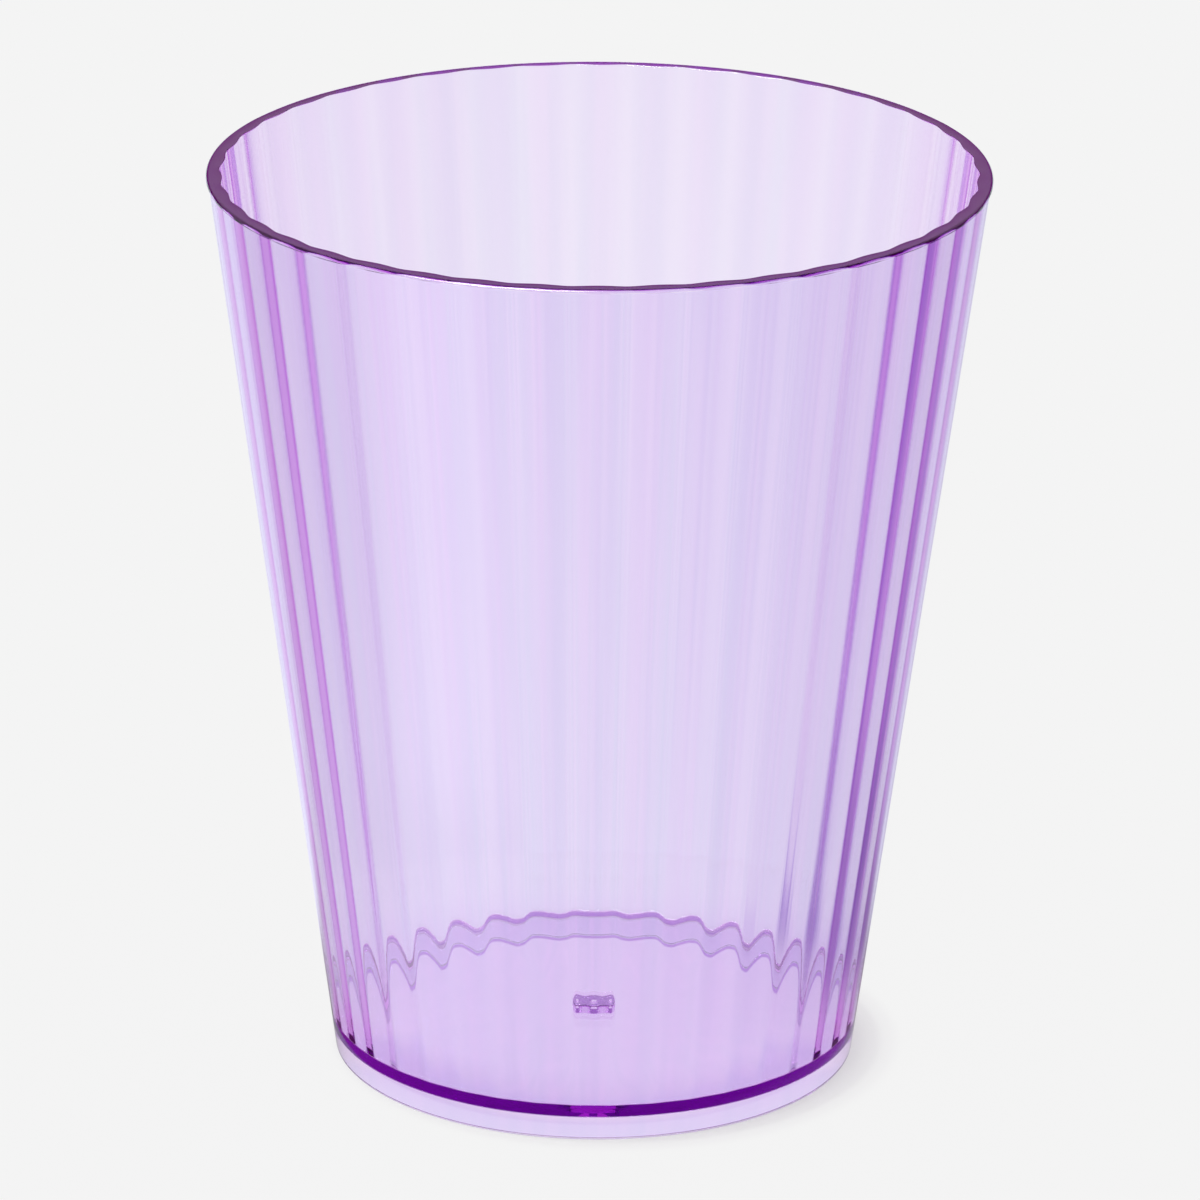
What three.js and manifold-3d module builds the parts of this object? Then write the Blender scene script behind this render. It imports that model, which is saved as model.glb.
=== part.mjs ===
// A see-through tinted drinking tumbler, moulded in one shot: a smooth tapered outside with a fine
// lip round its rim, an inside wall of convex flutes that run from the floor out through the rim,
// a flat floor and a hollow foot below it. Millimetres, +Z up, origin at the centre of the foot's
// underside.

import * as THREE from "three";
import { mergeVertices, toCreasedNormals } from "three/addons/utils/BufferGeometryUtils.js";
import Module from "manifold-3d";

// Overall size
const HEIGHT = 101.4;
const RIM_DIAMETER = 85;
const FOOT_DIAMETER = 57.84;

// Lip: the band round the top of the outside that stands proud of the taper below it
const LIP_STEP = 0.16;
const LIP_HEIGHT = 0.39;
const LIP_EDGE_RADIUS = 0.36;

// Wall, measured level from the taper of the outside to the bottom of a groove between two flutes
const WALL_AT_RIM = 1.28;
const WALL_AT_FLOOR = 1.05;
const WALL_EDGE_RADIUS = 0.38;

// Flutes: how many there are, how far a crest stands in from the grooves beside it, and the shares
// of a flute's width that its round crest and its rounded grooves take, with flat flanks between
const FLUTE_COUNT = 42;
const FLUTE_RISE_AT_RIM = 0.305;
const FLUTE_RISE_AT_FLOOR = 0.155;
const FLUTE_CREST_SHARE = 0.4;
const FLUTE_GROOVE_SHARE = 0.2;
const FLUTE_STEPS = 6;

// Floor, and the hollow foot that lifts it off the table
const FLOOR_THICKNESS = 1.5;
const FLOOR_CORNER_RADIUS = 0.2;
const FOOT_RECESS_DEPTH = 2.5;
const FOOT_WALL = 1.1;
const FOOT_DRAFT = THREE.MathUtils.degToRad(3);
const FOOT_EDGE_RADIUS = 0.15;
const FOOT_CORNER_RADIUS = 0.15;

// Moulding gate at the middle of the floor: a low button above, and below it a well round a stub
const GATE_BUTTON_DIAMETER = 4.9;
const GATE_BUTTON_HEIGHT = 0.88;
const GATE_BUTTON_EDGE_RADIUS = 0.45;
const GATE_WELL_DIAMETER = 3.8;
const GATE_WELL_DEPTH = 1.1;
const GATE_STUB_DIAMETER = 1.2;
const GATE_STUB_TIP_DIAMETER = 0.8;

// How finely arcs and small round forms are stepped
const ARC_STEPS = 2;
const GATE_SEGMENTS = 32;
const CREASE_ANGLE = THREE.MathUtils.degToRad(9);

// Sizes worked out from the ones above
const rimRadius = RIM_DIAMETER / 2;
const taperTopRadius = rimRadius - LIP_STEP;
const footRadius = FOOT_DIAMETER / 2;
const lipUnder = HEIGHT - LIP_HEIGHT;
const floorTop = FOOT_RECESS_DEPTH + FLOOR_THICKNESS;
const midRimRadius = taperTopRadius - WALL_AT_RIM / 2;
const outsideRadiusAt = (z) => THREE.MathUtils.lerp(footRadius, taperTopRadius, z / HEIGHT);
const heightShare = (z) => (z - floorTop) / (HEIGHT - floorTop);
const fluteRiseAt = (z) => THREE.MathUtils.lerp(FLUTE_RISE_AT_FLOOR, FLUTE_RISE_AT_RIM, heightShare(z));

const wasm = await Module();
wasm.setup();

// An outline whose corners are rounded: each entry is [radius across, height, corner radius].
function roundedOutline(corners) {
  const points = [];
  for (const [index, [across, height, cornerRadius]] of corners.entries()) {
    const corner = new THREE.Vector2(across, height);
    if (!cornerRadius) {
      points.push(corner);
      continue;
    }
    const before = new THREE.Vector2(...corners[index - 1].slice(0, 2)).sub(corner).normalize();
    const after = new THREE.Vector2(...corners[index + 1].slice(0, 2)).sub(corner).normalize();
    const opening = Math.acos(before.dot(after));
    const reach = cornerRadius / Math.tan(opening / 2);
    const bisector = before.clone().add(after).normalize();
    const centre = corner.clone().addScaledVector(bisector, cornerRadius / Math.sin(opening / 2));
    const start = corner.clone().addScaledVector(before, reach);
    const turn = (Math.PI - opening) * Math.sign(after.cross(before));
    for (let step = 0; step <= ARC_STEPS; step += 1) {
      points.push(start.clone().rotateAround(centre, (turn * step) / ARC_STEPS));
    }
  }
  return points;
}

// Leaves only positions, joins the points that coincide and drops the triangles that collapse.
function weld(geometry) {
  geometry.deleteAttribute("normal");
  geometry.deleteAttribute("uv");
  const welded = mergeVertices(geometry);
  const kept = [];
  for (let first = 0; first < welded.index.count; first += 3) {
    const triangle = [0, 1, 2].map((corner) => welded.index.getX(first + corner));
    if (new Set(triangle).size === 3) kept.push(...triangle);
  }
  welded.setIndex(kept);
  return welded;
}

// A welded three.js geometry as a solid that can be joined and cut.
function solidFrom(geometry) {
  const vertProperties = Float32Array.from(geometry.attributes.position.array);
  const triVerts = Uint32Array.from(geometry.index.array);
  return new wasm.Manifold(new wasm.Mesh({ numProp: 3, vertProperties, triVerts }));
}

// The solid back as a three.js geometry, smooth on its curves and crisp at its grooves.
function geometryFrom(solid) {
  const mesh = solid.getMesh();
  const geometry = new THREE.BufferGeometry();
  geometry.setAttribute("position", new THREE.BufferAttribute(mesh.vertProperties, 3));
  geometry.setIndex(new THREE.BufferAttribute(mesh.triVerts, 1));
  return toCreasedNormals(geometry, CREASE_ANGLE);
}

// An outline turned about the upright axis.
function revolve(outline, segments) {
  return new THREE.LatheGeometry(outline, segments).rotateX(Math.PI / 2);
}

// How far across a flute's arched section stands proud at a turn angle: 1 on a crest, 0 in a groove.
function fluteShape(angle) {
  const pitches = (angle * FLUTE_COUNT) / (2 * Math.PI);
  const fromCrest = 2 * Math.abs(pitches - Math.round(pitches));
  const whole = 1 - FLUTE_CREST_SHARE / 2 - FLUTE_GROOVE_SHARE / 2;
  if (fromCrest < FLUTE_CREST_SHARE) return 1 - fromCrest ** 2 / (2 * FLUTE_CREST_SHARE * whole);
  if (fromCrest < 1 - FLUTE_GROOVE_SHARE) return (1 - fromCrest - FLUTE_GROOVE_SHARE / 2) / whole;
  return (1 - fromCrest) ** 2 / (2 * FLUTE_GROOVE_SHARE * whole);
}

// Outline of the outside: under the floor, round the foot, up the taper and over the lip to mid rim.
function outsideOutline() {
  const recessRadius = footRadius - FOOT_WALL;
  const recessRoofRadius = recessRadius - FOOT_RECESS_DEPTH * Math.tan(FOOT_DRAFT);
  const footEdge = Math.min(FOOT_EDGE_RADIUS, FOOT_WALL / 3);
  const lipEdge = Math.min(LIP_EDGE_RADIUS, LIP_HEIGHT, WALL_AT_RIM / 2);
  return roundedOutline([
    [0, FOOT_RECESS_DEPTH],
    [recessRoofRadius, FOOT_RECESS_DEPTH, FOOT_CORNER_RADIUS],
    [recessRadius, 0, footEdge],
    [footRadius, 0, footEdge],
    [outsideRadiusAt(lipUnder), lipUnder],
    [rimRadius, lipUnder],
    [rimRadius, HEIGHT, lipEdge],
    [midRimRadius, HEIGHT],
  ]);
}

// Outline of the inside, along a groove: from mid rim down the wall and over the floor.
function insideOutline() {
  const wallEdge = Math.min(WALL_EDGE_RADIUS, WALL_AT_RIM / 2);
  return roundedOutline([
    [midRimRadius, HEIGHT],
    [taperTopRadius - WALL_AT_RIM, HEIGHT, wallEdge],
    [outsideRadiusAt(floorTop) - WALL_AT_FLOOR, floorTop, FLOOR_CORNER_RADIUS],
    [0, floorTop],
  ]);
}

// The whole moulding without its gate: a revolve whose inside wall is arched into flutes.
function flutedBody() {
  const outside = outsideOutline();
  const outline = outside.concat(insideOutline().slice(1));
  const body = revolve(outline, FLUTE_COUNT * FLUTE_STEPS);
  const position = body.attributes.position;
  for (let vertex = 0; vertex < position.count; vertex += 1) {
    const row = vertex % outline.length;
    const isFluted = row >= outside.length && row < outline.length - 1;
    if (!isFluted) continue;
    const column = Math.floor(vertex / outline.length);
    const angle = (2 * Math.PI * column) / (FLUTE_COUNT * FLUTE_STEPS);
    const { x: across, y: height } = outline[row];
    const share = 1 - (fluteRiseAt(height) * fluteShape(angle)) / across;
    position.setXY(vertex, position.getX(vertex) * share, position.getY(vertex) * share);
  }
  return solidFrom(weld(body));
}

// The low round button that stands on the floor opposite the gate, rooted in the floor.
function gateButton() {
  const radius = GATE_BUTTON_DIAMETER / 2;
  const root = floorTop - FLOOR_THICKNESS / 4;
  const top = floorTop + GATE_BUTTON_HEIGHT;
  const edge = Math.min(GATE_BUTTON_EDGE_RADIUS, GATE_BUTTON_HEIGHT);
  const outline = roundedOutline([[0, root], [radius, root], [radius, top, edge], [0, top]]);
  return solidFrom(weld(revolve(outline, GATE_SEGMENTS)));
}

// The space of the well under the floor that leaves the gate's stub standing inside it.
function gateWell() {
  const outer = GATE_WELL_DIAMETER / 2;
  const stub = GATE_STUB_DIAMETER / 2;
  const tip = GATE_STUB_TIP_DIAMETER / 2;
  const roof = FOOT_RECESS_DEPTH + GATE_WELL_DEPTH;
  const outline = [
    new THREE.Vector2(tip, FOOT_RECESS_DEPTH),
    new THREE.Vector2(tip, 0),
    new THREE.Vector2(outer, 0),
    new THREE.Vector2(outer, roof),
    new THREE.Vector2(stub, roof),
    new THREE.Vector2(tip, FOOT_RECESS_DEPTH),
  ];
  return solidFrom(weld(revolve(outline, GATE_SEGMENTS)));
}

const lilacPlastic = new THREE.MeshStandardMaterial({
  color: 0xc9a6f0,
  roughness: 0.06,
  metalness: 0,
  transparent: true,
  opacity: 0.45,
});

const moulding = flutedBody().add(gateButton()).subtract(gateWell());
const tumbler = new THREE.Mesh(geometryFrom(moulding), lilacPlastic);
tumbler.name = "tumbler";

const drinkingGlass = new THREE.Group();
drinkingGlass.add(tumbler);

export default drinkingGlass;
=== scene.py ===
"""A see-through lilac drinking tumbler on a pale studio floor, as its photograph shows it.

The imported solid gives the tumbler's size and place. The moulding is modelled again over it with
a finer surface and dressed in tinted plastic that bends and soaks up light as the real one does.
"""

import logging
import math
from dataclasses import dataclass
from enum import Enum

import bmesh
import bpy
from mathutils import Matrix, Vector


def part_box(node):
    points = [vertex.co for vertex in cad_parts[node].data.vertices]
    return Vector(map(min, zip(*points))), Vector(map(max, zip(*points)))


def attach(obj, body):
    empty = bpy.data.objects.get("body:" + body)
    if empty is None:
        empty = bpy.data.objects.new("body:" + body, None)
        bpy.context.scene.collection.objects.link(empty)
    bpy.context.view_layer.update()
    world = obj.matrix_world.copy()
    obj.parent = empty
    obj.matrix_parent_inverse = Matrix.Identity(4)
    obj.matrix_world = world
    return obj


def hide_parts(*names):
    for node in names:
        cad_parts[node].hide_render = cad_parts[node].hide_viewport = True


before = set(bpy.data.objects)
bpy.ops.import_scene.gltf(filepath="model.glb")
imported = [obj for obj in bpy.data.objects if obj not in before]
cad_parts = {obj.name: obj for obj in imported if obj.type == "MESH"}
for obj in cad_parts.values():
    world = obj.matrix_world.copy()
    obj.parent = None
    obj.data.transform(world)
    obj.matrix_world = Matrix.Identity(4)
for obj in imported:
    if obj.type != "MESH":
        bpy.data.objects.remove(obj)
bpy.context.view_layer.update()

# A millimetre, in metres
MM = 0.001
# How near two places are, in mm, that count as the same and that are welded into one
TOUCH = 0.001
WELD = 0.0001
# The side of the photograph, in pixels
PHOTO_SIDE = 1200
# Brightness of the bare floor, and of the tent behind it, to the camera
PALE = 0.905

Colour = tuple[float, float, float, float]
# The value at which something begins to come in, and the one at which all of it is there
Fade = tuple[float, float]
Place = tuple[float, float, float]
# Values in rising order, and the colour at each
Steps = tuple[tuple[float, Colour], ...]
Socket = bpy.types.NodeSocket
Tree = bpy.types.NodeTree

log = logging.getLogger("tumbler")


class Ring(Enum):
    """The corners of the tumbler's outline, in the order that the outline is drawn."""

    GATE_STUB_TIP = "gate_stub_tip"
    GATE_STUB_FOOT = "gate_stub_foot"
    GATE_WELL_ROOF = "gate_well_roof"
    GATE_WELL_MOUTH = "gate_well_mouth"
    RECESS_ROOF = "recess_roof"
    FOOT_INNER = "foot_inner"
    FOOT_OUTER = "foot_outer"
    LIP_UNDER = "lip_under"
    LIP_EDGE = "lip_edge"
    RIM_OUTER = "rim_outer"
    RIM_INNER = "rim_inner"
    FLOOR_CORNER = "floor_corner"
    BUTTON_FOOT = "button_foot"
    BUTTON_TOP = "button_top"


@dataclass(frozen=True)
class Flutes:
    """The convex flutes side by side round the inside wall.

    Attributes:
        count: How many flutes there are in a full turn.
        rise_at_rim: How far a crest stands in from its grooves at the rim, in mm.
        rise_at_floor: The same at the floor, in mm.
        crest_share: The share of a flute's width that its round crest takes up.
        groove_share: The share that the rounded grooves take up; flat flanks lie between the two.
        steps: How many faces make one flute's arch.
    """

    count: int = 42
    rise_at_rim: float = 0.305
    rise_at_floor: float = 0.155
    crest_share: float = 0.4
    groove_share: float = 0.2
    steps: int = 20

    def arch(self, angle: float) -> float:
        """Gives the height of the arch at a turn angle.

        Args:
            angle: The angle about the upright axis from the front, in radians.

        Returns:
            1 on a crest and 0 in a groove.
        """
        pitches = angle * self.count / math.tau
        from_crest = 2 * abs(pitches - round(pitches))
        crest, groove = self.crest_share, self.groove_share
        whole = 1 - crest / 2 - groove / 2
        if from_crest < crest:
            return 1 - from_crest**2 / (2 * crest * whole)
        if from_crest < 1 - groove:
            return (1 - from_crest - groove / 2) / whole
        return (1 - from_crest) ** 2 / (2 * groove * whole)


def grey(level: float) -> Colour:
    """A neutral colour of a brightness."""
    return (level, level, level, 1.0)


def blend(tree: Tree, share: Socket, first: Socket | Colour, second: Socket | Colour) -> Socket:
    """Goes from one colour to another.

    Args:
        tree: The node tree that the mix goes into.
        share: What gives the second colour's share.
        first: The first colour, or the socket that gives it.
        second: The second colour, or the socket that gives it.

    Returns:
        The socket that gives the mixed colour.
    """
    mix = tree.nodes.new("ShaderNodeMix")
    mix.data_type = "RGBA"
    tree.links.new(share, mix.inputs[0])
    for socket, colour in ((mix.inputs[6], first), (mix.inputs[7], second)):
        if isinstance(colour, tuple):
            socket.default_value = colour
        else:
            tree.links.new(colour, socket)
    return mix.outputs[2]


def eased(tree: Tree, value: Socket, fade: Fade) -> Socket:
    """Rises smoothly from 0 to 1 while a value crosses a fade.

    Args:
        tree: The node tree that the rise goes into.
        value: The socket that gives the value.
        fade: Where the rise begins and where it is over, which may be above or below.

    Returns:
        The socket that gives the rise.
    """
    rise = tree.nodes.new("ShaderNodeMapRange")
    rise.interpolation_type = "SMOOTHSTEP"
    rise.inputs["From Min"].default_value, rise.inputs["From Max"].default_value = fade
    tree.links.new(value, rise.inputs["Value"])
    return rise.outputs["Result"]


def reckoned(tree: Tree, operation: str, first: Socket | float, second: Socket | float) -> Socket:
    """Does one sum with two numbers.

    Args:
        tree: The node tree that the sum goes into.
        operation: The name of the math node's operation.
        first: The first number, or the socket that gives it.
        second: The second number, or the socket that gives it.

    Returns:
        The socket that gives the result.
    """
    sum_node = tree.nodes.new("ShaderNodeMath")
    sum_node.operation = operation
    for socket, number in zip(sum_node.inputs, (first, second)):
        if isinstance(number, float):
            socket.default_value = number
        else:
            tree.links.new(number, socket)
    return sum_node.outputs[0]


def product(tree: Tree, *factors: Socket | float) -> Socket:
    """Multiplies two or more numbers.

    Args:
        tree: The node tree that the sums go into.
        factors: The numbers, or the sockets that give them.

    Returns:
        The socket that gives the product.
    """
    result, *others = factors
    for factor in others:
        result = reckoned(tree, "MULTIPLY", result, factor)
    return result


def ramped(tree: Tree, value: Socket, full: float, steps: Steps) -> Socket:
    """Turns a value into a colour that goes softly from step to step.

    Args:
        tree: The node tree that the ramp goes into.
        value: The socket that gives the value.
        full: The value at the far end of the ramp.
        steps: Values in rising order and the colour at each.

    Returns:
        The socket that gives the colour.
    """
    ramp = tree.nodes.new("ShaderNodeValToRGB")
    ramp.color_ramp.interpolation = "EASE"
    stops = ramp.color_ramp.elements
    while len(stops) < len(steps):
        stops.new(1.0)
    for stop, (place, colour) in zip(stops, steps):
        stop.position = place / full
        stop.color = colour
    tree.links.new(reckoned(tree, "DIVIDE", value, full), ramp.inputs["Fac"])
    return ramp.outputs["Color"]


@dataclass(frozen=True)
class FlowAndSheenStreaks:
    """The faint upright streaks in the plastic's tint, partly streaks of plastic that has flowed
    up a mould and partly painted sheen in paler and darker bands.

    Attributes:
        scale: How many streaks there are side by side, more as it grows.
        detail: How finely a streak is broken up.
        fade: The noise's values from which to which a streak goes from clear to full.
    """

    scale: float = 14.0
    detail: float = 3.0
    fade: Fade = (0.35, 0.65)

    def group(self) -> Tree:
        """Builds the group of nodes that draws the streaks.

        Returns:
            A group that takes a place on the piece and gives a value from 0 to 1.
        """
        group = bpy.data.node_groups.new("flow_and_sheen_streaks", "ShaderNodeTree")
        group.interface.new_socket("Place", in_out="INPUT", socket_type="NodeSocketVector")
        group.interface.new_socket("Streaks", in_out="OUTPUT", socket_type="NodeSocketFloat")
        nodes, links = group.nodes, group.links
        given = nodes.new("NodeGroupInput")
        split = nodes.new("ShaderNodeSeparateXYZ")
        links.new(given.outputs["Place"], split.inputs[0])
        level = nodes.new("ShaderNodeCombineXYZ")
        links.new(split.outputs["X"], level.inputs["X"])
        links.new(split.outputs["Y"], level.inputs["Y"])
        round_axis = nodes.new("ShaderNodeVectorMath")
        round_axis.operation = "NORMALIZE"
        links.new(level.outputs["Vector"], round_axis.inputs[0])
        upward = nodes.new("ShaderNodeCombineXYZ")
        links.new(split.outputs["Z"], upward.inputs["Z"])
        drawn_out = nodes.new("ShaderNodeVectorMath")
        links.new(round_axis.outputs["Vector"], drawn_out.inputs[0])
        links.new(upward.outputs["Vector"], drawn_out.inputs[1])
        noise = nodes.new("ShaderNodeTexNoise")
        noise.inputs["Scale"].default_value = self.scale
        noise.inputs["Detail"].default_value = self.detail
        links.new(drawn_out.outputs["Vector"], noise.inputs["Vector"])
        result = nodes.new("NodeGroupOutput")
        links.new(eased(group, noise.outputs["Fac"], self.fade), result.inputs["Streaks"])
        return group


@dataclass(frozen=True)
class LilacPlastic:
    """The clear plastic, tinted all through, that the tumbler is moulded in.

    Attributes:
        streaks: The streaks in its tint.
        ior: How strongly the plastic bends light.
        surface_tint: The tint that light takes on at the plastic's surfaces.
        streak_tint: The same where a streak, partly painted sheen, is at its palest.
        body_colour: The colour that the plastic lets through over a long way.
        body_density: How fast the plastic soaks up the other colours, per metre.
        roughness: How far the polished surface blurs light.
    """

    streaks: FlowAndSheenStreaks
    ior: float = 1.57
    surface_tint: Colour = (0.888, 0.985, 0.985, 1.0)
    streak_tint: Colour = (0.928, 1.0, 1.0, 1.0)
    body_colour: Colour = (0.76, 0.0, 0.845, 1.0)
    body_density: float = 154.0
    roughness: float = 0.0

    def material(self) -> bpy.types.Material:
        """Builds the plastic's material.

        Returns:
            A material with a see-through surface and a volume that soaks up light.
        """
        plastic = bpy.data.materials.new("lilac_plastic")
        plastic.use_nodes = True
        nodes, links = plastic.node_tree.nodes, plastic.node_tree.links
        surface = nodes["Principled BSDF"]
        place = nodes.new("ShaderNodeTexCoord")
        streaks = nodes.new("ShaderNodeGroup")
        streaks.node_tree = self.streaks.group()
        links.new(place.outputs["Object"], streaks.inputs["Place"])
        share = streaks.outputs["Streaks"]
        # The tint pales along the streaks, which are partly flow lines and partly painted sheen.
        tint = blend(plastic.node_tree, share, self.surface_tint, self.streak_tint)
        links.new(tint, surface.inputs["Base Color"])
        surface.inputs["Roughness"].default_value = self.roughness
        surface.inputs["IOR"].default_value = self.ior
        surface.inputs["Transmission Weight"].default_value = 1.0
        body = nodes.new("ShaderNodeVolumeAbsorption")
        body.inputs["Color"].default_value = self.body_colour
        body.inputs["Density"].default_value = self.body_density
        links.new(body.outputs["Volume"], nodes["Material Output"].inputs["Volume"])
        return plastic


@dataclass
class Tumbler:
    """The one moulding that the drinking glass is: wall, flutes, floor, foot and gate mark.

    All lengths are in mm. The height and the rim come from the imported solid.

    Attributes:
        height: Overall height.
        rim_radius: Radius of the rim over its lip.
        flutes: The flutes of the inside wall.
        plastic: What the tumbler is moulded in.
        foot_radius: Radius of the foot at the table.
        lip_step: How far the lip round the rim stands proud of the taper below it.
        lip_height: Height of the lip.
        wall_at_rim: Wall from the taper to a groove's bottom at the rim.
        wall_at_floor: The same at the floor.
        rim_edge: Radius of the rim's outer edge.
        rim_inner_edge: Radius of the rim's inner edge.
        floor_thickness: Thickness of the floor.
        floor_corner: Radius of the corner between floor and wall.
        recess_depth: How far the floor's underside stands off the table.
        foot_wall: Thickness of the foot ring at the table.
        foot_draft: Lean of the foot ring's inside, in radians.
        foot_edge: Radius of the foot ring's edges.
        recess_corner: Radius of the corner between the foot ring and the floor's underside.
        button_radius: Radius of the gate's button on the floor.
        button_height: Height of the button.
        button_edge: Radius of the button's edge.
        gate_well_radius: Radius of the gate's well in the floor's underside.
        gate_well_depth: Depth of the well.
        gate_stub_radius: Radius of the stub in the well, at its foot.
        gate_stub_tip_radius: The same at its tip.
        wall_rows: How many rows of faces run up each wall.
        edge_steps: How many faces make a rounded edge.
        groove_angle: Turn between two faces above which their edge stays crisp, in radians.
    """

    height: float
    rim_radius: float
    flutes: Flutes
    plastic: LilacPlastic
    foot_radius: float = 28.92
    lip_step: float = 0.16
    lip_height: float = 0.39
    wall_at_rim: float = 1.28
    wall_at_floor: float = 1.05
    rim_edge: float = 0.36
    rim_inner_edge: float = 0.1
    floor_thickness: float = 1.5
    floor_corner: float = 0.2
    recess_depth: float = 2.5
    foot_wall: float = 1.1
    foot_draft: float = math.radians(3)
    foot_edge: float = 0.15
    recess_corner: float = 0.15
    button_radius: float = 2.45
    button_height: float = 0.88
    button_edge: float = 0.45
    gate_well_radius: float = 1.9
    gate_well_depth: float = 1.1
    gate_stub_radius: float = 0.6
    gate_stub_tip_radius: float = 0.4
    wall_rows: int = 10
    edge_steps: int = 8
    groove_angle: float = math.radians(14)

    @property
    def floor_top(self) -> float:
        """Height of the floor's upper face."""
        return self.recess_depth + self.floor_thickness

    def outside_radius(self, height: float) -> float:
        """Radius of the smooth outside wall at a height."""
        top = self.rim_radius - self.lip_step
        return self.foot_radius + (top - self.foot_radius) * height / self.height

    def up_share(self, height: float) -> float:
        """How far up from the floor to the rim a height lies, from 0 to 1."""
        return (height - self.floor_top) / (self.height - self.floor_top)

    def groove_radius(self, height: float) -> float:
        """Radius at the bottom of the grooves between flutes at a height."""
        share = self.up_share(height)
        top = self.outside_radius(self.height) - self.wall_at_rim
        bottom = self.outside_radius(self.floor_top) - self.wall_at_floor
        return bottom + (top - bottom) * share

    def corners(self) -> dict[Ring, tuple[float, float]]:
        """Lists the outline's corners.

        Returns:
            The radius and height of each ring, from under the floor round to the button.
        """
        recess_radius = self.foot_radius - self.foot_wall
        roof_radius = recess_radius - self.recess_depth * math.tan(self.foot_draft)
        well_roof = self.recess_depth + self.gate_well_depth
        button_top = self.floor_top + self.button_height
        lip_under = self.height - self.lip_height
        return {
            Ring.GATE_STUB_TIP: (self.gate_stub_tip_radius, self.recess_depth),
            Ring.GATE_STUB_FOOT: (self.gate_stub_radius, well_roof),
            Ring.GATE_WELL_ROOF: (self.gate_well_radius, well_roof),
            Ring.GATE_WELL_MOUTH: (self.gate_well_radius, self.recess_depth),
            Ring.RECESS_ROOF: (roof_radius, self.recess_depth),
            Ring.FOOT_INNER: (recess_radius, 0.0),
            Ring.FOOT_OUTER: (self.foot_radius, 0.0),
            Ring.LIP_UNDER: (self.outside_radius(lip_under), lip_under),
            Ring.LIP_EDGE: (self.rim_radius, lip_under),
            Ring.RIM_OUTER: (self.rim_radius, self.height),
            Ring.RIM_INNER: (self.groove_radius(self.height), self.height),
            Ring.FLOOR_CORNER: (self.groove_radius(self.floor_top), self.floor_top),
            Ring.BUTTON_FOOT: (self.button_radius, self.floor_top),
            Ring.BUTTON_TOP: (self.button_radius, button_top),
        }

    def turn(self, shape: bmesh.types.BMesh) -> None:
        """Draws the outline and turns it about the upright axis.

        Args:
            shape: The empty mesh that takes the closed round form.
        """
        corners = self.corners()
        under = shape.verts.new((0, 0, self.recess_depth))
        top = shape.verts.new((0, 0, self.floor_top + self.button_height))
        rings = {ring: shape.verts.new((0, -across, up)) for ring, (across, up) in corners.items()}
        line = [under, *rings.values(), top]
        edges = [shape.edges.new(pair) for pair in zip(line, line[1:])]
        walls = {
            frozenset((rings[Ring.FOOT_OUTER], rings[Ring.LIP_UNDER])),
            frozenset((rings[Ring.RIM_INNER], rings[Ring.FLOOR_CORNER])),
        }
        long_edges = [edge for edge in edges if frozenset(edge.verts) in walls]
        bmesh.ops.subdivide_edges(shape, edges=long_edges, cuts=self.wall_rows - 1)
        bmesh.ops.spin(
            shape,
            geom=shape.verts[:] + shape.edges[:],
            cent=(0, 0, 0),
            axis=(0, 0, 1),
            angle=math.tau,
            steps=self.flutes.count * self.flutes.steps,
            use_merge=True,
        )
        bmesh.ops.remove_doubles(shape, verts=shape.verts, dist=WELD)
        bmesh.ops.recalc_face_normals(shape, faces=shape.faces)

    def ring_edges(self, shape: bmesh.types.BMesh, ring: Ring) -> list[bmesh.types.BMEdge]:
        """Finds the edges that run round one corner of the turned outline.

        Args:
            shape: The turned form, before its flutes are raised.
            ring: The corner that is looked for.

        Returns:
            The edges of that ring.
        """
        across, up = self.corners()[ring]

        def on_ring(vert: bmesh.types.BMVert) -> bool:
            """Whether a vertex lies on the ring."""
            return abs(vert.co.z - up) < TOUCH and abs(vert.co.xy.length - across) < TOUCH

        return [edge for edge in shape.edges if all(on_ring(vert) for vert in edge.verts)]

    def raise_flutes(self, shape: bmesh.types.BMesh) -> None:
        """Arches the inside wall into flutes, from the floor out through the rim.

        Args:
            shape: The turned form.
        """
        for vert in shape.verts:
            across, up = vert.co.xy.length, vert.co.z
            if up < self.floor_top - TOUCH or abs(across - self.groove_radius(up)) > TOUCH:
                continue
            share = self.up_share(up)
            rise = self.flutes.rise_at_floor * (1 - share) + self.flutes.rise_at_rim * share
            angle = math.atan2(vert.co.x, -vert.co.y)
            vert.co.xy *= 1 - rise * self.flutes.arch(angle) / across

    def corner_radii(self) -> dict[Ring, float]:
        """Lists the corners that the real moulding has rounded.

        Returns:
            The radius of each rounded ring.
        """
        return {
            Ring.RECESS_ROOF: self.recess_corner,
            Ring.FOOT_INNER: self.foot_edge,
            Ring.FOOT_OUTER: self.foot_edge,
            Ring.RIM_OUTER: self.rim_edge,
            Ring.RIM_INNER: self.rim_inner_edge,
            Ring.FLOOR_CORNER: self.floor_corner,
            Ring.BUTTON_TOP: self.button_edge,
        }

    def round_corners(
        self, shape: bmesh.types.BMesh, rings: dict[Ring, list[bmesh.types.BMEdge]]
    ) -> None:
        """Rounds the moulding's corners.

        Args:
            shape: The fluted form.
            rings: The edges of each ring that is rounded.
        """
        for ring, radius in self.corner_radii().items():
            bmesh.ops.bevel(
                shape,
                geom=rings[ring],
                offset=radius,
                offset_type="OFFSET",
                segments=self.edge_steps,
                profile=0.5,
                affect="EDGES",
                clamp_overlap=True,
                material=-1,
            )

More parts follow.
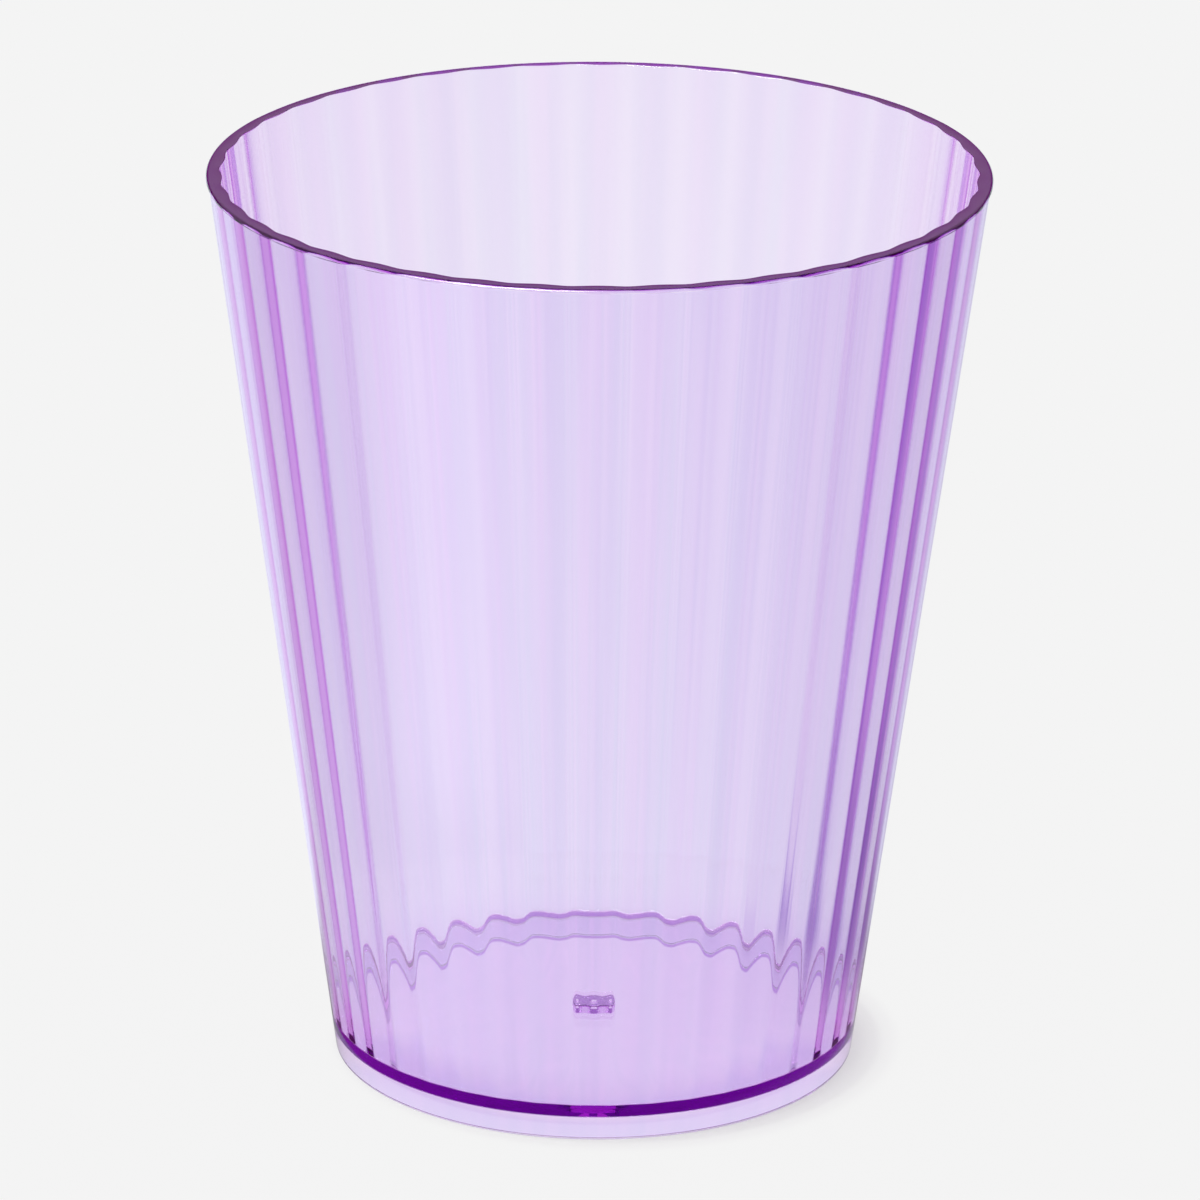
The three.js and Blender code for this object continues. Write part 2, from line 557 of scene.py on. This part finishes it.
    def build(self) -> bpy.types.Object:
        """Models the moulding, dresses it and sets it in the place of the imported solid.

        Returns:
            The finished piece.
        """
        shape = bmesh.new()
        self.turn(shape)
        rings = {ring: self.ring_edges(shape, ring) for ring in self.corner_radii()}
        self.raise_flutes(shape)
        self.round_corners(shape, rings)
        for face in shape.faces:
            face.smooth = True
        for edge in shape.edges:
            edge.smooth = edge.calc_face_angle(0.0) < self.groove_angle
        bmesh.ops.scale(shape, vec=(MM, MM, MM), verts=shape.verts)
        mesh = bpy.data.meshes.new("tumbler_moulding")
        shape.to_mesh(mesh)
        shape.free()
        piece = bpy.data.objects.new("tumbler_moulding", mesh)
        bpy.context.scene.collection.objects.link(piece)
        mesh.materials.append(self.plastic.material())
        even = piece.modifiers.new("even_normals", "WEIGHTED_NORMAL")
        even.keep_sharp = True
        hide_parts("tumbler")
        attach(piece, "root")
        return piece


@dataclass(frozen=True)
class FloorThroughPlastic:
    """The floor's colours as they show through the plastic only, which are painted shade and lilac
    tints that the camera never sees on the bare floor.

    Distances are in mm from the tumbler's axis. A spot's heading from the axis runs from -1 at the
    front to 1 at the back, and its way over from 0 on the left to 1 on the right.

    Attributes:
        around_shade_steps: Ways over, and the colour of the floor round the foot at each, a
            painted shade that is faintly cool on the far left and darker and more violet towards
            the right.
        right_colour: Colour of the shaded floor close by on the right.
        right_share: How much of that shade shows.
        right_side: Ways over across which the shade comes in.
        right_reach: Distances across which it comes in.
        under_shade_colour: Colour of the floor under the foot, a painted lilac shade.
        under_reach: Distances across which that colour gives way to the floor round the foot.
        skirt_shade_colour: Colour of the floor that shows through the front of the foot, a painted
            lilac shade.
        skirt_reach: Distances across which that colour comes in.
        skirt_front: Headings across which it comes in.
        contact_shadow_colour: Colour of a painted contact shadow on the ring that the foot stands
            on.
        contact_inner: Distances across which the ring comes in at its inner edge.
        contact_outer: Distances across which it comes in at its outer edge.
        contact_back: Headings across which it comes in.
    """

    around_shade_steps: Steps = (
        (0.1, (0.9, 0.97, 0.98, 1.0)),
        (0.22, grey(0.98)),
        (0.75, grey(0.98)),
        (0.85, (0.66, 0.55, 0.84, 1.0)),
        (0.925, (0.48, 0.39, 0.72, 1.0)),
        (0.975, (0.78, 0.73, 0.9, 1.0)),
    )
    right_colour: Colour = (0.25, 0.15, 0.45, 1.0)
    right_share: float = 0.6
    right_side: Fade = (0.8, 0.9)
    right_reach: Fade = (130.0, 70.0)
    under_shade_colour: Colour = (0.935, 0.855, 0.965, 1.0)
    under_reach: Fade = (30.0, 50.0)
    skirt_shade_colour: Colour = (0.83, 0.755, 0.945, 1.0)
    skirt_reach: Fade = (18.0, 22.0)
    skirt_front: Fade = (0.0, -0.3)
    contact_shadow_colour: Colour = (0.52, 0.26, 0.72, 1.0)
    contact_inner: Fade = (27.0, 27.4)
    contact_outer: Fade = (28.5, 27.9)
    contact_back: Fade = (0.0, 0.3)

    def colour(self, tree: Tree, heading: bpy.types.NodeOutputs, span: Socket) -> Socket:
        """Colours the floor with its painted shade, painted lilac shade and painted contact
        shadow.

        Args:
            tree: The floor's node tree.
            heading: The sockets that give which way a spot lies from the axis.
            span: The socket that gives how far it lies from the axis, in mm.

        Returns:
            The socket that gives the colour.
        """
        over = product(tree, reckoned(tree, "ADD", heading["X"], 1.0), 0.5)
        # Painted shade round the foot: darker and more violet towards the right, and darker still
        # close by on the right.
        right = eased(tree, over, self.right_side)
        shade = product(tree, right, eased(tree, span, self.right_reach), self.right_share)
        around = ramped(tree, over, 1.0, self.around_shade_steps)
        around = blend(tree, shade, around, self.right_colour)
        # Painted lilac shade under the foot and through its front.
        front = eased(tree, heading["Y"], self.skirt_front)
        skirt = product(tree, front, eased(tree, span, self.skirt_reach))
        under = blend(tree, skirt, self.under_shade_colour, self.skirt_shade_colour)
        floor = blend(tree, eased(tree, span, self.under_reach), under, around)
        # Painted contact shadow on the ring that the foot stands on, towards the back.
        contact = product(
            tree,
            eased(tree, span, self.contact_inner),
            eased(tree, span, self.contact_outer),
            eased(tree, heading["Y"], self.contact_back),
        )
        return blend(tree, contact, floor, self.contact_shadow_colour)


@dataclass(frozen=True)
class FloorInGloss:
    """The floor's colours as the plastic's gloss mirrors them, a painted reflection that the
    camera never sees on the bare floor.

    Distances are in mm from the tumbler's axis. A spot's heading from the axis runs from -1 on the
    left to 1 on the right, and its way round from 0 at the back to 1 at the front.

    Attributes:
        round_steps: Ways round, and the colour of the floor at each in the painted reflection,
            darker at the sides and brighter at the front.
        lean: How much brighter the left is than the middle, and the middle than the right.
        lean_reach: Distances across which that lean comes in.
        left_gain: How much brighter still the left front is, well away from the foot.
        left_side: Headings across which that gain comes in.
        left_reach: Distances across which it comes in.
        left_front: Ways round across which it comes in.
        near_colour: Colour of the floor next to the foot in the painted reflection, where lilac
            light falls.
        near_inner: Distances across which that colour comes in at its inner edge.
        near_outer: Distances across which it comes in at its outer edge.
        near_front: Ways round across which it comes in.
    """

    round_steps: Steps = (
        (0.125, (0.79, 0.85, 0.94, 1.0)),
        (0.25, grey(0.35)),
        (0.575, grey(0.35)),
        (0.875, grey(1.1)),
    )
    lean: float = 0.3
    lean_reach: Fade = (33.0, 50.0)
    left_gain: float = 0.9
    left_side: Fade = (-0.1, -0.9)
    left_reach: Fade = (50.0, 110.0)
    left_front: Fade = (0.5, 0.75)
    near_colour: Colour = (0.3, 0.03, 0.33, 1.0)
    near_inner: Fade = (31.2, 31.8)
    near_outer: Fade = (42.0, 35.0)
    near_front: Fade = (0.35, 0.55)

    def colour(self, tree: Tree, heading: bpy.types.NodeOutputs, span: Socket) -> Socket:
        """Colours the floor's painted reflection.

        Args:
            tree: The floor's node tree.
            heading: The sockets that give which way a spot lies from the axis.
            span: The socket that gives how far it lies from the axis, in mm.

        Returns:
            The socket that gives the colour.
        """
        # Painted reflection of the floor: brighter to the left and at the front, with a lilac
        # patch next to the foot.
        way_round = product(tree, reckoned(tree, "SUBTRACT", 1.0, heading["Y"]), 0.5)
        gain = product(
            tree,
            eased(tree, heading["X"], self.left_side),
            eased(tree, span, self.left_reach),
            eased(tree, way_round, self.left_front),
            self.left_gain,
        )
        lean = product(tree, heading["X"], eased(tree, span, self.lean_reach), self.lean)
        level = reckoned(tree, "ADD", reckoned(tree, "SUBTRACT", 1.0, lean), gain)
        far = tree.nodes.new("ShaderNodeVectorMath")
        far.operation = "SCALE"
        tree.links.new(ramped(tree, way_round, 1.0, self.round_steps), far.inputs[0])
        tree.links.new(level, far.inputs["Scale"])
        near = product(
            tree,
            eased(tree, span, self.near_inner),
            eased(tree, span, self.near_outer),
            eased(tree, way_round, self.near_front),
        )
        return blend(tree, near, far.outputs["Vector"], self.near_colour)


@dataclass(frozen=True)
class StudioFloor:
    """The pale floor that the tumbler stands on.

    Attributes:
        through: Its colours as they show through the plastic, with painted shade.
        gloss: Its colours as the plastic's gloss mirrors them, a painted reflection.
        own_colour: Its own colour, which the even light shows as it is.
        radius: How far it reaches, in mm.
        sides: How many straight sides its round outline has.
        shadow_centre: Where the middle of the contact shadow lies, in mm.
        shadow_steps: Distances from that middle, in mm, and how much of its brightness the floor
            keeps at each.
        shadow_reach: Distance at the far end of the ramp that these steps lie on, in mm.
    """

    through: FloorThroughPlastic
    gloss: FloorInGloss
    own_colour: Colour = grey(PALE)
    radius: float = 20000.0
    sides: int = 64
    shadow_centre: Place = (2.4, 0.0, 0.0)
    shadow_steps: Steps = (
        (27.0, grey(0.4)),
        (29.0, grey(0.57)),
        (30.4, grey(0.82)),
        (32.5, grey(0.985)),
    )
    shadow_reach: float = 50.0

    def build(self) -> bpy.types.Object:
        """Builds the floor.

        Returns:
            The floor.
        """
        shape = bmesh.new()
        bmesh.ops.create_circle(shape, cap_ends=True, segments=self.sides, radius=self.radius * MM)
        mesh = bpy.data.meshes.new("studio_floor")
        shape.to_mesh(mesh)
        shape.free()
        floor = bpy.data.objects.new("studio_floor", mesh)
        bpy.context.scene.collection.objects.link(floor)
        mesh.materials.append(self.paint())
        return floor

    def paint(self) -> bpy.types.Material:
        """Builds the floor's paint, which takes its real shadow only close to the foot and glows
        with painted shade through the plastic and a painted reflection in its gloss.

        Returns:
            The floor's material.
        """
        paint = bpy.data.materials.new("studio_floor")
        paint.use_nodes = True
        tree = paint.node_tree
        nodes, links = tree.nodes, tree.links
        surface = nodes["Principled BSDF"]
        surface.inputs["Base Color"].default_value = self.own_colour
        surface.inputs["Roughness"].default_value = 1.0
        surface.inputs["Specular IOR Level"].default_value = 0.0
        place = nodes.new("ShaderNodeTexCoord").outputs["Object"]
        heading = nodes.new("ShaderNodeVectorMath")
        heading.operation = "NORMALIZE"
        links.new(place, heading.inputs[0])
        split = nodes.new("ShaderNodeSeparateXYZ")
        links.new(heading.outputs["Vector"], split.inputs[0])
        span = self.distance_from(tree, place, (0.0, 0.0, 0.0))
        seen = nodes.new("ShaderNodeLightPath").outputs
        gloss = self.gloss.colour(tree, split.outputs, span)
        through = self.through.colour(tree, split.outputs, span)
        # To the camera the floor is its even pale colour. Through the plastic it glows painted
        # shade, and in the gloss it glows a painted reflection.
        colour = blend(tree, seen["Is Glossy Ray"], grey(PALE), gloss)
        colour = blend(tree, seen["Is Transmission Ray"], colour, through)
        glow = nodes.new("ShaderNodeEmission")
        links.new(colour, glow.inputs["Color"])
        from_shadow = self.distance_from(tree, place, self.shadow_centre)
        kept = ramped(tree, from_shadow, self.shadow_reach, self.shadow_steps)
        kept = blend(tree, seen["Is Transmission Ray"], kept, grey(1.0))
        direct = reckoned(tree, "SUBTRACT", 1.0, seen["Is Diffuse Ray"])
        mix = nodes.new("ShaderNodeMixShader")
        links.new(product(tree, direct, kept), mix.inputs["Fac"])
        links.new(surface.outputs["BSDF"], mix.inputs[1])
        links.new(glow.outputs["Emission"], mix.inputs[2])
        links.new(mix.outputs["Shader"], nodes["Material Output"].inputs["Surface"])
        return paint

    def distance_from(self, tree: Tree, place: Socket, centre: Place) -> Socket:
        """Measures how far a spot of floor lies from a centre.

        Args:
            tree: The floor's node tree.
            place: The socket that gives the spot, in metres.
            centre: The centre, in mm.

        Returns:
            The socket that gives the distance, in mm.
        """
        away = tree.nodes.new("ShaderNodeVectorMath")
        away.operation = "DISTANCE"
        tree.links.new(place, away.inputs[0])
        away.inputs[1].default_value = Vector(centre) * MM
        return reckoned(tree, "DIVIDE", away.outputs["Value"], MM)


@dataclass(frozen=True)
class StudioTent:
    """The even white tent of light all round, which in reflections only shows a painted softbox
    highlight, a painted lit left side, a painted lilac back and painted dark lilac sides.

    A heading is a direction's share to the right, to the back or upward, from -1 to 1.

    Attributes:
        strength: Brightness of the tent as a light.
        through_level: Brightness of the tent as seen through the plastic.
        dim_colour: Colour of its unlit sides in reflections, a painted dark lilac.
        back_colour: Colour of its back in reflections, a painted lilac.
        back_side: Headings to the back across which that colour comes in.
        back_rise: Headings upward across which it comes in.
        softbox_heading: Which way the softbox lies.
        softbox_level: Brightness of the softbox's painted highlight in reflections.
        softbox_edge: Shares of that direction across which the softbox comes in.
        left_level: Brightness of the painted lit left side in reflections.
        left_edge: Headings to the right across which the left side comes in.
        bounces: How many times light may bounce inside the clear plastic.
    """

    strength: float = 1.0
    through_level: float = 0.98
    dim_colour: Colour = (0.45, 0.03, 0.5, 1.0)
    back_colour: Colour = (0.9, 0.42, 1.0, 1.0)
    back_side: Fade = (0.3, 0.8)
    back_rise: Fade = (0.18, 0.34)
    softbox_heading: Place = (-0.4, -0.52, 0.76)
    softbox_level: float = 14.0
    softbox_edge: Fade = (0.9, 0.96)
    left_level: float = 0.7
    left_edge: Fade = (-0.6, -0.95)
    bounces: int = 160

    def gloss(self, tree: Tree) -> Socket:
        """Colours the tent as the plastic's gloss mirrors it, with its painted highlight and
        painted reflections.

        Args:
            tree: The tent's node tree.

        Returns:
            The socket that gives the colour.
        """
        nodes, links = tree.nodes, tree.links
        place = nodes.new("ShaderNodeTexCoord").outputs["Generated"]
        split = nodes.new("ShaderNodeSeparateXYZ")
        links.new(place, split.inputs[0])
        heading = split.outputs
        toward = nodes.new("ShaderNodeVectorMath")
        toward.operation = "DOT_PRODUCT"
        links.new(place, toward.inputs[0])
        toward.inputs[1].default_value = Vector(self.softbox_heading).normalized()
        # Painted reflections only: a softbox highlight, a lit left side and a lilac back on dark
        # lilac sides.
        box = eased(tree, toward.outputs["Value"], self.softbox_edge)
        left = eased(tree, heading["X"], self.left_edge)
        rise = eased(tree, heading["Z"], self.back_rise)
        back = product(tree, eased(tree, heading["Y"], self.back_side), rise)
        box_light = product(tree, box, self.softbox_level)
        left_light = product(tree, left, self.left_level)
        lit = nodes.new("ShaderNodeVectorMath")
        links.new(blend(tree, back, self.dim_colour, self.back_colour), lit.inputs[0])
        links.new(reckoned(tree, "ADD", box_light, left_light), lit.inputs[1])
        return lit.outputs["Vector"]

    def light(self) -> bpy.types.World:
        """Surrounds the object with the tent.

        Returns:
            The world that gives the light.
        """
        scene = bpy.context.scene
        world = bpy.data.worlds.new("studio_tent")
        world.use_nodes = True
        tree = world.node_tree
        seen = tree.nodes.new("ShaderNodeLightPath").outputs
        colour = blend(tree, seen["Is Glossy Ray"], grey(self.strength), self.gloss(tree))
        colour = blend(tree, seen["Is Transmission Ray"], colour, grey(self.through_level))
        colour = blend(tree, seen["Is Camera Ray"], colour, grey(PALE))
        tree.links.new(colour, tree.nodes["Background"].inputs["Color"])
        scene.world = world
        scene.view_settings.view_transform = "Standard"
        scene.cycles.max_bounces = self.bounces
        scene.cycles.transmission_bounces = self.bounces
        scene.cycles.glossy_bounces = self.bounces
        return world


@dataclass(frozen=True)
class PhotoCamera:
    """The photograph's viewpoint.

    Attributes:
        focal_pixels: The focal length in pixels of the photograph.
        distance: How far the camera is from the point half way up the tumbler's axis, in mm.
        elevation: How far above the horizon it looks from, in radians.
        roll: How far it is turned about its own line of sight, in radians.
        centre: The pixel of the photograph that the camera aims at.
        aim_height: The height of the point that it aims at, in mm.
        sensor_width: The width of the sensor, in mm.
    """

    focal_pixels: float = 8044.0
    distance: float = 885.9
    elevation: float = math.radians(20.041)
    roll: float = math.radians(0.395)
    centre: tuple[float, float] = (596.6, 609.68)
    aim_height: float = 50.9
    sensor_width: float = 36.0

    def place(self) -> bpy.types.Object:
        """Makes the camera and gives the scene its view.

        Returns:
            The camera.
        """
        data = bpy.data.cameras.new("photo_camera")
        data.sensor_width = self.sensor_width
        data.lens = self.focal_pixels * self.sensor_width / PHOTO_SIDE
        data.shift_x = 0.5 - self.centre[0] / PHOTO_SIDE
        data.shift_y = self.centre[1] / PHOTO_SIDE - 0.5
        camera = bpy.data.objects.new("photo_camera", data)
        back = Vector((0, -math.cos(self.elevation), math.sin(self.elevation)))
        aim = Vector((0, 0, self.aim_height))
        look = (-back).to_track_quat("-Z", "Y").to_matrix().to_4x4()
        turn = look @ Matrix.Rotation(self.roll, 4, "Z")
        camera.matrix_world = Matrix.Translation((aim + back * self.distance) * MM) @ turn
        bpy.context.scene.collection.objects.link(camera)
        bpy.context.scene.camera = camera
        return camera


def main() -> None:
    """Builds the camera, the studio and the tumbler, in that order."""
    logging.basicConfig(level=logging.INFO, format="%(message)s")
    log.info("camera: %s", PhotoCamera().place().name)
    floor = StudioFloor(through=FloorThroughPlastic(), gloss=FloorInGloss())
    log.info("floor: %s", floor.build().name)
    log.info("light: %s", StudioTent().light().name)
    low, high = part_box("tumbler")
    tumbler = Tumbler(
        height=(high[2] - low[2]) / MM,
        rim_radius=(high[0] - low[0]) / 2 / MM,
        flutes=Flutes(),
        plastic=LilacPlastic(streaks=FlowAndSheenStreaks()),
    )
    piece = tumbler.build()
    log.info("tumbler: %s, %d faces", piece.name, len(piece.data.polygons))


if __name__ == "__main__":
    main()
